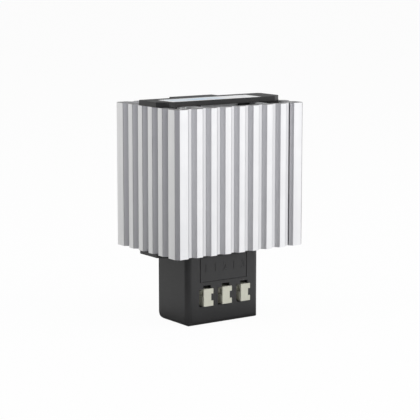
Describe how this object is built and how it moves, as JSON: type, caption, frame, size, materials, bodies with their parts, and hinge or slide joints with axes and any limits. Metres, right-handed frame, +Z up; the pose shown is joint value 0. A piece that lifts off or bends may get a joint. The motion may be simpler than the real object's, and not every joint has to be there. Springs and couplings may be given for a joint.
{
  "type": "enclosure heater",
  "caption": "Finned aluminium enclosure heater with a heating core in an open chimney, black end caps, a terminal box with clamp terminals below and a rail clip on the back.",
  "frame": {"origin": "on the underside of the terminal box, on the upright axis of the heatsink", "axes": "+Z up along the heatsink's fins, -Y towards the front with the terminals, +X to the right seen from the front"},
  "size_m": [0.09, 0.0693, 0.1317],
  "materials": {
    "aluminium": "matte natural anodised extrusion",
    "black_plastic": "finely textured moulding",
    "cream_plastic": "unpigmented moulding",
    "label": "satin film",
    "steel": "zinc plated",
    "spring_steel": "bright strip",
    "tinned_copper": "tin plated",
    "heating_ceramic": "fired ceramic",
    "insulating_film": "amber film",
    "lead_brown": "silicone sleeve",
    "lead_blue": "silicone sleeve",
    "lead_green": "silicone sleeve"
  },
  "bodies": {
    "root": {"heatsink": "aluminium", "top_cap": "black_plastic", "rating_label": "label", "bottom_cap": "black_plastic", "cap_screws": "steel", "terminal_box": "black_plastic", "terminal_body_1": "cream_plastic", "terminal_body_2": "cream_plastic", "terminal_body_3": "cream_plastic", "current_bar_1": "tinned_copper", "current_bar_2": "tinned_copper", "current_bar_3": "tinned_copper", "clamp_spring_1": "spring_steel", "clamp_spring_2": "spring_steel", "clamp_spring_3": "spring_steel", "ptc_stones": "heating_ceramic", "electrode_live": "spring_steel", "electrode_neutral": "spring_steel", "insulation_front": "insulating_film", "insulation_back": "insulating_film", "pressure_spring": "spring_steel", "lead_live": "lead_brown", "lead_neutral": "lead_blue", "lead_earth": "lead_green", "earth_lug": "tinned_copper", "earth_screw": "steel", "rail_clip": "spring_steel", "clip_screws": "steel"}
  },
  "joints": []
}
